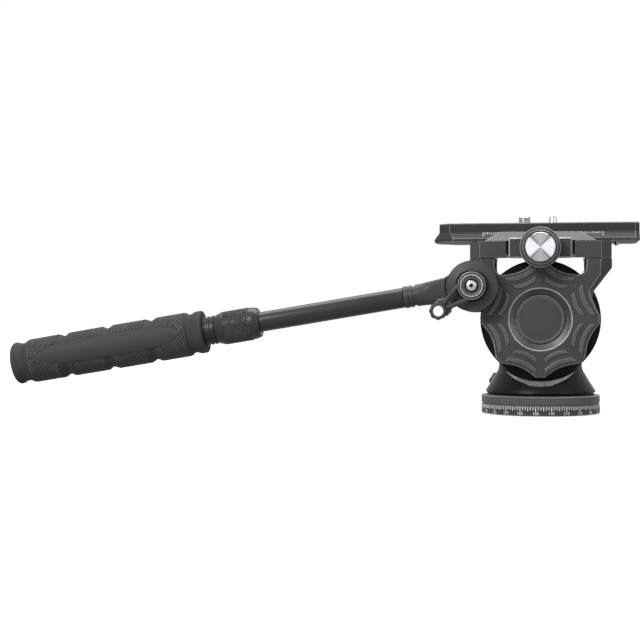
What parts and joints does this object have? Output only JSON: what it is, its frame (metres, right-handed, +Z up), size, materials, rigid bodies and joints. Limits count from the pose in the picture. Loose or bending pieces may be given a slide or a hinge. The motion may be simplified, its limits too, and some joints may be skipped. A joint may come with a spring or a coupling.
{
  "type": "fluid video head",
  "caption": "Fluid pan and tilt video head: round base, drum housing in a web-shaped yoke, clamp with sliding plate and a telescopic pan handle.",
  "frame": {"origin": "centre of the base's underside, on the pan axis, where the tripod's screw goes in", "axes": "+Z up along the pan axis, +X along the plate towards the front of the camera, the pan handle points to -X, the tilt axis is parallel to Y"},
  "size_m": [0.3201, 0.0783, 0.1009],
  "materials": {
    "anodised_black": "satin black anodised aluminium",
    "anodised_grey": "satin dark grey anodised aluminium",
    "steel": "turned steel",
    "spun_disc": "spun bare aluminium",
    "bronze": "sintered bearing bronze",
    "rubber": "matt black rubber",
    "nylon": "moulded nylon"
  },
  "bodies": {
    "base": {"base_plate": "anodised_black", "base_ring": "anodised_black", "thread_bush": "steel"},
    "pan_body": {"pan_bearing": "nylon", "pan_washer": "steel", "pan_nut": "steel", "pan_ring": "anodised_black", "housing": "anodised_black", "near_drum_cover": "anodised_black", "far_drum_cover": "anodised_black", "near_tilt_bearing": "bronze", "far_tilt_bearing": "bronze"},
    "pan_lock": {"pan_lock_screw": "steel", "pan_lock_knob": "anodised_black"},
    "yoke": {"tilt_axle": "steel", "damper_rotor": "steel", "near_cheek": "anodised_black", "far_cheek": "anodised_black", "near_hub_cover": "anodised_grey", "axle_nut": "steel", "tilt_washer": "steel", "handle_stud": "steel", "clamp_body": "anodised_grey", "rear_guide_pin": "steel", "front_guide_pin": "steel", "clamp_bolt_1": "steel", "clamp_bolt_2": "steel", "clamp_bolt_3": "steel", "clamp_bolt_4": "steel"},
    "tilt_lock": {"tilt_lock_knob": "anodised_black"},
    "jaw": {"clamp_jaw": "anodised_grey"},
    "knob": {"clamp_screw": "steel", "clamp_knob": "anodised_grey", "knob_disc": "spun_disc"},
    "plate": {"release_plate": "anodised_grey", "plate_pad": "rubber"},
    "camera_screw": {"camera_screw": "steel"},
    "video_pin": {"video_pin": "steel"},
    "stop_pin": {"stop_pin": "steel"},
    "handle": {"handle_arm": "anodised_black", "handle_tube": "anodised_black"},
    "lever": {"lock_lever": "anodised_black", "lever_cap": "steel"},
    "extension": {"grip_sleeve": "anodised_black", "collet": "nylon", "grip": "rubber"},
    "collar": {"extension_collar": "anodised_black"}
  },
  "joints": [
    {"name": "pan", "type": "hinge", "parent": "base", "child": "pan_body", "pos_m": [0, 0, 0.0054], "axis": [0, 0, 1], "continuous": true},
    {"name": "pan_lock_turn", "type": "hinge", "parent": "pan_body", "child": "pan_lock", "pos_m": [0, 0, 0.0145], "axis": [-0.5736, 0.8192, 0], "range_deg": [0, 180]},
    {"name": "tilt", "type": "hinge", "parent": "pan_body", "child": "yoke", "pos_m": [0, 0, 0.048], "axis": [0, 1, 0], "range_deg": [-55, 80]},
    {"name": "tilt_lock_turn", "type": "hinge", "parent": "yoke", "child": "tilt_lock", "pos_m": [0, 0.03, 0.048], "axis": [0, 1, 0], "range_deg": [0, 180]},
    {"name": "jaw_slide", "type": "slide", "parent": "yoke", "child": "jaw", "axis": [0, -1, 0], "range_m": [0, 0.003]},
    {"name": "knob_turn", "type": "hinge", "parent": "jaw", "child": "knob", "pos_m": [0, -0.03, 0.0833], "axis": [0, -1, 0], "range_deg": [0, 1080]},
    {"name": "plate_slide", "type": "slide", "parent": "yoke", "child": "plate", "axis": [1, 0, 0], "range_m": [-0.0019, 0.03]},
    {"name": "camera_screw_turn", "type": "hinge", "parent": "plate", "child": "camera_screw", "pos_m": [-0.008, 0, 0.0874], "axis": [0, 0, 1], "continuous": true},
    {"name": "video_pin_press", "type": "slide", "parent": "plate", "child": "video_pin", "axis": [0, 0, -1], "range_m": [0, 0.0035], "stiffness_N_per_m": 300, "springref_m": -0.002},
    {"name": "stop_pin_press", "type": "slide", "parent": "plate", "child": "stop_pin", "axis": [0, 0, 1], "range_m": [0, 0.0015], "stiffness_N_per_m": 300, "springref_m": -0.002},
    {"name": "handle_angle", "type": "hinge", "parent": "yoke", "child": "handle", "pos_m": [-0.0333, -0.0313, 0.0645], "axis": [0, 1, 0], "range_deg": [-40, 70]},
    {"name": "lever_turn", "type": "hinge", "parent": "handle", "child": "lever", "pos_m": [-0.0333, -0.038, 0.0645], "axis": [0, -1, 0], "range_deg": [0, 90]},
    {"name": "handle_extend", "type": "slide", "parent": "handle", "child": "extension", "axis": [-0.9863, 0, -0.165], "range_m": [-0.07, 0]},
    {"name": "collar_turn", "type": "hinge", "parent": "extension", "child": "collar", "pos_m": [-0.14011, -0.0313, 0.04662], "axis": [-0.9863, 0, -0.165], "range_deg": [0, 120]}
  ],
  "couplings": [
    {"joint": "knob_turn", "follows": "jaw_slide", "rad_per_m": 6280}
  ]
}
